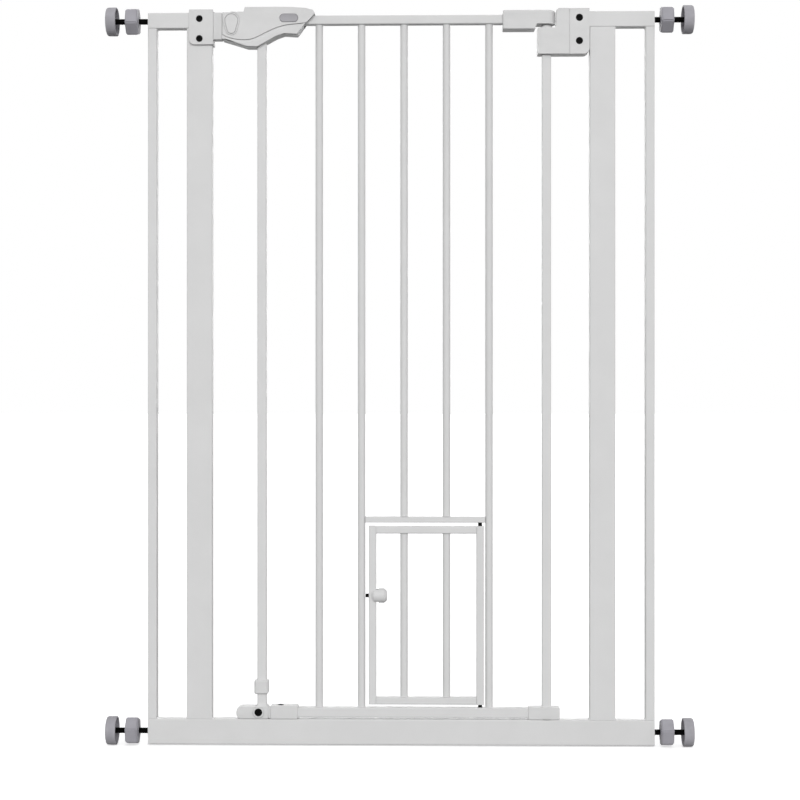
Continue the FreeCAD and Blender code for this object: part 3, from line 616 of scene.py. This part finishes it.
ARM_LONGER = 1.1


def make_arm():
    """The arm over the door's top rail, round-ended about the hinge, with a bevelled crown."""
    low, high = span("hinge_arm")
    low.x -= ARM_LONGER
    notch_left, notch_right, notch_top = high.x - 27.5, high.x - 24.5, low.z + 7
    half = high.y
    plan = corners([(low.x, -half, 2.2), (high.x, -half, 11.3), (high.x, half, 11.3),
                    (low.x, half, 2.2)])
    arm = drawn("Z", (low.z, plan), (high.z - 3.1, plan), (high.z, plan))
    softened(arm, 0.9, 3, lambda m, w: m.z < low.z + 0.1)
    softened(arm, 2.8, 2, lambda m, w: m.z > high.z - 0.1)
    notch = prism("Y", [Vector(p) for p in ((notch_left - 0.4, low.z - 1), (notch_right, notch_top),
                                            (high.x + 2, notch_top), (high.x + 2, low.z - 1))],
                  -half - 1, half + 1)
    piece("hinge_top_arm", carved(arm, notch), "white_plastic", "door", "hinge_arm")


# ---------------------------------------------------------------- corner fittings

FITTING_LOW = span("bottom_rail")[1].z + 0.45
SLEEVE_LONGER = 2.0
FLANGE_ROOM = 9.4
RAIL_LOWER = 0.5  # closes the hairline of daylight under the door's bottom rail


def boxed(name, node, edge, ends, hole, longer=0.0):
    """A fitting close over the bottom rail, with its ends bevelled more than its long edges."""
    low, high = span(node)
    bm = prism("X", slab(low.y, high.y, FITTING_LOW, high.z), low.x, high.x + longer)
    softened(bm, ends, 2, lambda m, w: abs(w.x) < 0.5)
    softened(bm, edge)
    piece(name, carved(bm, hole), "white_plastic", "door", node)


def make_corner_fittings():
    sleeve_top = span("corner_sleeve")[1].z
    low, high = span("sleeve_screw")
    hole = round_hole("Z", sleeve_top, -1, (high.x - low.x) / 2 + SCREW_ROOM,
                      middle("sleeve_screw").xy, 2)
    boxed("latch_corner_sleeve", "corner_sleeve", 0.5, 1.6, hole, SLEEVE_LONGER)
    flange_top = span("bottom_pivot_bush")[1].z
    flange_room = turned("Z", [(FITTING_LOW - 1, FLANGE_ROOM), (flange_top + 0.2, FLANGE_ROOM)],
                         middle("bottom_pivot_bush").xy)
    boxed("hinge_corner_box", "corner_fitting", 0.5, 1.3, flange_room)
    low, high = span("stile_collar")
    collar = prism("Z", slab(low.x, high.x, low.y, high.y), low.z, high.z)
    softened(collar, 2.2, 1, lambda m, w: abs(w.z) > 0.99)
    softened(collar, 1.8, 1, lambda m, w: abs(w.z) < 0.5)
    softened(collar, 0.3, 2)
    piece("lift_collar", collar, "white_plastic", "door", "stile_collar")
    low, high = span("door_bottom_rail")
    rail = prism("X", slab(low.y, high.y, low.z - RAIL_LOWER, high.z, 1.5), low.x, high.x)
    piece("door_lower_rail", rail, "painted_steel", "door", "door_bottom_rail")


def make_lock_foot():
    """The round-nosed foot, its stub up to the collar and the ringed boss of its screw."""
    low = span("lock_foot")[0]
    screw, half = middle("foot_screw"), 8.0
    sleeve, sleeve_high = span("corner_sleeve")
    stile, stile_high = span("left_stile")
    top, end = sleeve_high.z - 1, stile_high.x + 2.5
    tongue = prism("Y", corners([(low.x, FITTING_LOW, 7), (end, FITTING_LOW, 0.6), (end, top, 0.6),
                                 (low.x, top, 7.6)]), -half, half)
    softened(tongue, 1.7, 3, lambda m, w: abs(abs(m.y) - half) < 0.05)
    neck = prism("X", slab(-half + 1.6, half - 1.6, FITTING_LOW + 1, top - 1.6, 0.8), end - 1,
                 sleeve.x + 1)

    def tube(grow):
        return slab(stile.x - grow, stile_high.x + grow, stile.y - grow, stile_high.y + grow, 1.6)

    stub = prism("Z", tube(0), top - 4, stile.z)
    flare = drawn("Z", (top - 1, tube(2.2)), (top + 0.2, tube(1.9)), (top + 0.9, tube(1.1)),
                  (top + 2.0, tube(0.4)), (top + 3.6, tube(0)))
    ring = [(-half + 1.5, 7.2), (low.y + 0.5, 7.2), (low.y + 0.1, 7.0), (low.y, 6.6), (low.y, 5.6),
            (low.y + 0.4, 5.2), (-half + 1.5, 5.2)]
    boss = turned("Y", ring, screw.xz, looped=True)
    well = turned("Y", [(-half - 1, 8.3), (-half + 0.1, 7.8), (-half + 0.9, 7.7)], screw.xz)
    piece("lock_foot_body", merged(carved(tongue, well), neck, stub, flare, boss), "white_plastic", "door",
          "lock_foot")


# ---------------------------------------------------------------- handle

PIVOT = middle("lever_pivot")
HALF_HANDLE = 12.0
CORE = 9.3
HANDLE_LEFT = -12.4
TIP = 98.2
FADE = 50  # the skirt's bevel narrows over this much of its length before the tip
# the line where the lever meets the shells, from the keeper's end to the tip, about the pivot
SWOOSH = [(HANDLE_LEFT, -13.2), (-7.2, -16.8), (0.8, -19.3), (9.5, -20.8), (19.4, -21.2), (27.4, -20),
          (35.4, -16.9), (48.7, -10.2), (62, -4.6), (75.3, -1.4), (88, -0.2), (TIP, 0.9)]
UNDERSIDE = [(HANDLE_LEFT, -20, 0), (20.7, -30.2, 14), (34.7, -30.4, 9), (59.3, -16.8, 14), (70, -13, 6),
             (87.3, -14.2, 2.5), (98, -1.0, 0.0)]
SEAM = 0.28
EGG = ((8.4, 4.4), (5.5, -7.3))  # radius and height of its two round ends
EGG_STEPS = 24


def about_pivot(outline):
    return moved(outline, PIVOT.x, PIVOT.z)


def skirt_outline(drop, shrink):
    """The shell below the lever, its upper edge lowered by drop and its lower edge drawn in by shrink."""
    under = corners(UNDERSIDE)[:-1]
    line = flowing(SWOOSH, 4)
    lift = [Vector((p.x, p.y - SEAM - drop * min(1, (TIP - p.x) / FADE))) for p in reversed(line)]
    return about_pivot([Vector((p.x, p.y + shrink)) for p in under] + lift)


def make_shells():
    """The two covers under the lever, each a bevelled skirt on a thick core."""
    low_edge = corners(UNDERSIDE)[:-1]
    core = about_pivot(low_edge + [Vector(p) for p in ((96, -1.5), (50, -1), (50, 16), (HANDLE_LEFT, 16))])
    for name, sign in (("front", -1), ("back", 1)):
        skirt = drawn("Y", (sign * (CORE - 1), skirt_outline(0, 0)), (sign * 10.6, skirt_outline(0, 0)),
                      (sign * 10.8, skirt_outline(0.3, 0.1)), (sign * 11.85, skirt_outline(3.5, 0.6)),
                      (sign * HALF_HANDLE, skirt_outline(3.9, 1.1)))
        half = prism("Y", core, min(0, sign * CORE), max(0, sign * CORE), 0.3)
        piece(f"handle_{name}_cover", merged(skirt, half), "white_plastic", "door", f"handle_{name}_shell")


def button_outline(radius):
    """The thumb button's slot shape, from the CAD button's middle."""
    low, high = span("thumb_button")
    reach = (high.x - low.x) / 2 - (high.z - low.z) / 2
    spot = (low + high) / 2
    half = reach + radius
    return slab(spot.x - half, spot.x + half, spot.z - radius, spot.z + radius, radius)


def egg_outline(grow):
    """Two round ends of different size and the straight sides between them."""
    ends = [(radius + grow, up) for radius, up in EGG]
    slope = math.asin((ends[0][0] - ends[1][0]) / (ends[0][1] - ends[1][1]))
    outline = []
    for (radius, up), start, sweep in ((ends[0], -slope, math.pi + 2 * slope),
                                       (ends[1], math.pi + slope, math.pi - 2 * slope)):
        for step in range(EGG_STEPS + 1):
            angle = start + sweep * step / EGG_STEPS
            outline.append(Vector((radius * math.cos(angle), up + radius * math.sin(angle))))
    return about_pivot(outline)


def egg_room(sign, floor, grow):
    """A cutter for an egg-shaped recess down to floor."""
    return drawn("Y", (sign * floor, egg_outline(grow)), (sign * 14, egg_outline(grow)))


def make_lever():
    """The hollow lever, with its pivot's caps and the thumb button."""
    line = flowing(SWOOSH, 4)
    edge = [Vector((p.x, p.y + SEAM)) for p in line]
    crown = corners([(99.8, 1.6, 0), (111.2, 13.6, 1.5), (108.5, 18.3, 2.5), (98, 20.8, 20), (78, 22.2, 40),
                     (60, 22.4, 40), (17.6, 22.2, 1.2), (16.4, 16.2, 0.8), (HANDLE_LEFT, 16, 0.8)])
    lever = prism("Y", about_pivot(edge + crown), -HALF_HANDLE, HALF_HANDLE)
    softened(lever, 0.75, 3, lambda m, w: abs(w.y) < 0.5)
    hollow = [Vector(p) for p in ((-20, -30), (120, -30), (120, 13.8), (104, 16), (78, 19.4), (14, 19.4),
                                  (14, 40), (-20, 40))]
    inside = prism("Y", about_pivot(hollow), -CORE - 0.2, CORE + 0.2)
    front = -HALF_HANDLE
    button_room = drawn("Y", (front - 1, button_outline(6.3)), (front + 0.45, button_outline(5.5)),
                        (-CORE + 1, button_outline(5.5)))
    sides = (-1, 1)
    lever = carved(lever, inside, button_room, *[egg_room(sign, 11.1, 2.9) for sign in sides],
                   *[egg_room(sign, 10.5, 0.65) for sign in sides])
    surrounds = [carved(drawn("Y", (sign * 10.8, egg_outline(2.3)), (sign * 12.0, egg_outline(2.3)),
                              (sign * 12.3, egg_outline(1.9)), (sign * 12.3, egg_outline(0.2))),
                        egg_room(sign, 10.5, 0.65))
                 for sign in sides]
    piece("lift_lever", merged(lever, *surrounds), "white_plastic", "lever", "handle_lever")
    caps = [drawn("Y", (sign * 10.4, egg_outline(0)), (sign * 12.35, egg_outline(0)),
                  (sign * 12.6, egg_outline(-0.25)), (sign * 12.7, egg_outline(-0.7)))
            for sign in sides]
    pin = turned("Y", [(-11.8, 2.5), (11.8, 2.5)], PIVOT.xz)
    piece("lever_caps", merged(pin, *caps), "white_plastic", "lever", "lever_pivot")
    low, high = span("thumb_button")
    button = drawn("Y", (high.y, button_outline(6.2)), (high.y - 0.7, button_outline(6.2)),
                   (high.y - 0.9, button_outline(5.3)), (low.y + 0.5, button_outline(5.3)),
                   (low.y + 0.12, button_outline(5.1)), (low.y, button_outline(4.7)),
                   (low.y + 0.15, button_outline(4.0)), (low.y + 0.4, button_outline(2.6)),
                   (low.y + 0.5, button_outline(1.2)))
    piece("release_button", button, "button_plastic", "button", "thumb_button")


# ---------------------------------------------------------------- pet door latch

PET_TUBE = 10


def make_pet_knob():
    """A turned knob slotted over the stile, with bevelled ends, and the pin that it draws."""
    low, high = span("pet_latch_knob")
    centre = middle("pet_latch_knob").yz
    tube_end = span("pet_door_stiles")[0].x + PET_TUBE
    steps = [(low.x + 0.3, 2.6), (low.x, 3.0), (low.x, 6.2), (low.x + 0.4, 6.9), (low.x + 2.8, 9.2),
             (low.x + 3.8, 9.7), (high.x - 4.4, 9.7), (high.x - 3.4, 9.3), (high.x - 0.6, 6.9),
             (high.x, 6.0), (high.x - 0.25, 4.8), (high.x - 0.4, 1.0)]
    knob = turned("X", steps, centre)
    slot = prism("X", slab(-5.4, 5.4, centre[1] - 14, centre[1] + 14), low.x - 1, tube_end + 3.3)
    piece("pet_latch_grip", carved(knob, slot), "white_plastic", "pet_latch", "pet_latch_knob")
    low, high = span("pet_latch_pin")
    radius = (high.z - low.z) / 2
    pin = turned("X", [(low.x, radius - 0.5), (low.x + 0.5, radius), (high.x - 0.2, radius),
                       (high.x, radius - 0.2)], centre)
    piece("pet_latch_bolt", pin, "black_steel", "pet_latch", "pet_latch_pin")


# ---------------------------------------------------------------- studio

EYE = Vector((0.0422, -2.3084, 0.4590))
EYE_TILT = 90.043
EYE_TURN = 1.07
LENS = 77.9


def make_camera():
    data = bpy.data.cameras.new("Camera")
    data.lens = LENS
    data.clip_end = 100
    camera = bpy.data.objects.new("Camera", data)
    camera.location = EYE
    camera.rotation_euler = (math.radians(EYE_TILT), 0, math.radians(EYE_TURN))
    bpy.context.scene.collection.objects.link(camera)
    bpy.context.scene.camera = camera


def make_lamp(name, turn, rise, level, soft=50):
    """A wide, distant lamp: turn is round from the front, rise above the horizon, in degrees.
    At level 1 it alone shows a surface that faces it at its own colour."""
    data = bpy.data.lights.new(name, "SUN")
    data.energy = level * math.pi
    data.angle = math.radians(soft)
    lamp = bpy.data.objects.new(name, data)
    a, e = math.radians(turn), math.radians(rise)
    towards = Vector((math.sin(a) * math.cos(e), -math.cos(a) * math.cos(e), math.sin(e)))
    lamp.rotation_euler = towards.to_track_quat("Z", "Y").to_euler()
    bpy.context.scene.collection.objects.link(lamp)


def seen_directly(nodes, links):
    """1 for camera, glossy and transmission rays, 0 for the rays that carry light."""
    rays = nodes.new("ShaderNodeLightPath")
    total = rays.outputs["Is Camera Ray"]
    for name in ("Is Glossy Ray", "Is Transmission Ray"):
        add = nodes.new("ShaderNodeMath")
        add.operation = "MAXIMUM"
        links.new(total, add.inputs[0])
        links.new(rays.outputs[name], add.inputs[1])
        total = add.outputs[0]
    return total


def make_sky(level):
    """White where it is seen, and a plain soft light from every side."""
    world = bpy.data.worlds.new("Studio")
    world.use_nodes = True
    bpy.context.scene.world = world
    nodes, links = world.node_tree.nodes, world.node_tree.links
    lit = nodes["Background"]
    lit.inputs["Color"].default_value = (1, 1, 1, 1)
    lit.inputs["Strength"].default_value = level
    seen = nodes.new("ShaderNodeBackground")
    seen.inputs["Color"].default_value = (1, 1, 1, 1)
    seen.inputs["Strength"].default_value = 1
    choose = nodes.new("ShaderNodeMixShader")
    links.new(seen_directly(nodes, links), choose.inputs["Fac"])
    links.new(lit.outputs[0], choose.inputs[1])
    links.new(seen.outputs[0], choose.inputs[2])
    links.new(choose.outputs[0], nodes["World Output"].inputs["Surface"])


FLOOR_REACH = 60.0
FLOOR_BOUNCE = 0.22  # grey that lights the object's undersides
FLOOR_SEEN = 0.95
FLOOR_GLOW = 0.5


def make_floor():
    """A plain pale floor that keeps a faint shadow, greyer for the light that it throws back."""
    reach = FLOOR_REACH
    mesh = bpy.data.meshes.new("Floor")
    mesh.from_pydata([(-reach, -reach, 0), (reach, -reach, 0), (reach, reach, 0), (-reach, reach, 0)], [],
                     [(0, 1, 2, 3)])
    floor = bpy.data.objects.new("Floor", mesh)
    bpy.context.scene.collection.objects.link(floor)
    paper = bpy.data.materials.new("Paper")
    paper.use_nodes = True
    nodes, links = paper.node_tree.nodes, paper.node_tree.links
    nodes.remove(nodes["Principled BSDF"])
    grey = nodes.new("ShaderNodeBsdfDiffuse")
    grey.inputs["Color"].default_value = (FLOOR_BOUNCE,) * 3 + (1,)
    white = nodes.new("ShaderNodeBsdfDiffuse")
    white.inputs["Color"].default_value = (FLOOR_SEEN,) * 3 + (1,)
    glow = nodes.new("ShaderNodeEmission")
    glow.inputs["Strength"].default_value = FLOOR_GLOW
    both = nodes.new("ShaderNodeAddShader")
    choose = nodes.new("ShaderNodeMixShader")
    links.new(white.outputs[0], both.inputs[0])
    links.new(glow.outputs[0], both.inputs[1])
    links.new(seen_directly(nodes, links), choose.inputs["Fac"])
    links.new(grey.outputs[0], choose.inputs[1])
    links.new(both.outputs[0], choose.inputs[2])
    links.new(choose.outputs[0], nodes["Material Output"].inputs["Surface"])
    mesh.materials.append(paper)


def make_studio():
    """The photo's camera, its soft frontal light and weaker lamps at the sides and back."""
    make_camera()
    make_sky(0.35)
    make_floor()
    make_lamp("Key", turn=4, rise=14, level=0.86)
    make_lamp("Left", turn=-80, rise=8, level=0.28)
    make_lamp("Right", turn=80, rise=8, level=0.28)
    make_lamp("Back", turn=180, rise=8, level=0.6)
    bpy.context.scene.view_settings.view_transform = "Standard"


finish_cad_nodes()
make_bar_beads("door_bar_welds", "door", "long_bars", "short_bars")
make_bar_beads("pet_bar_welds", "pet_door", "pet_door_bars")
make_frame_beads()
make_spindles()
make_screws()
make_keeper()
make_housing()
make_arm()
make_corner_fittings()
make_lock_foot()
make_shells()
make_lever()
make_pet_knob()
make_studio()
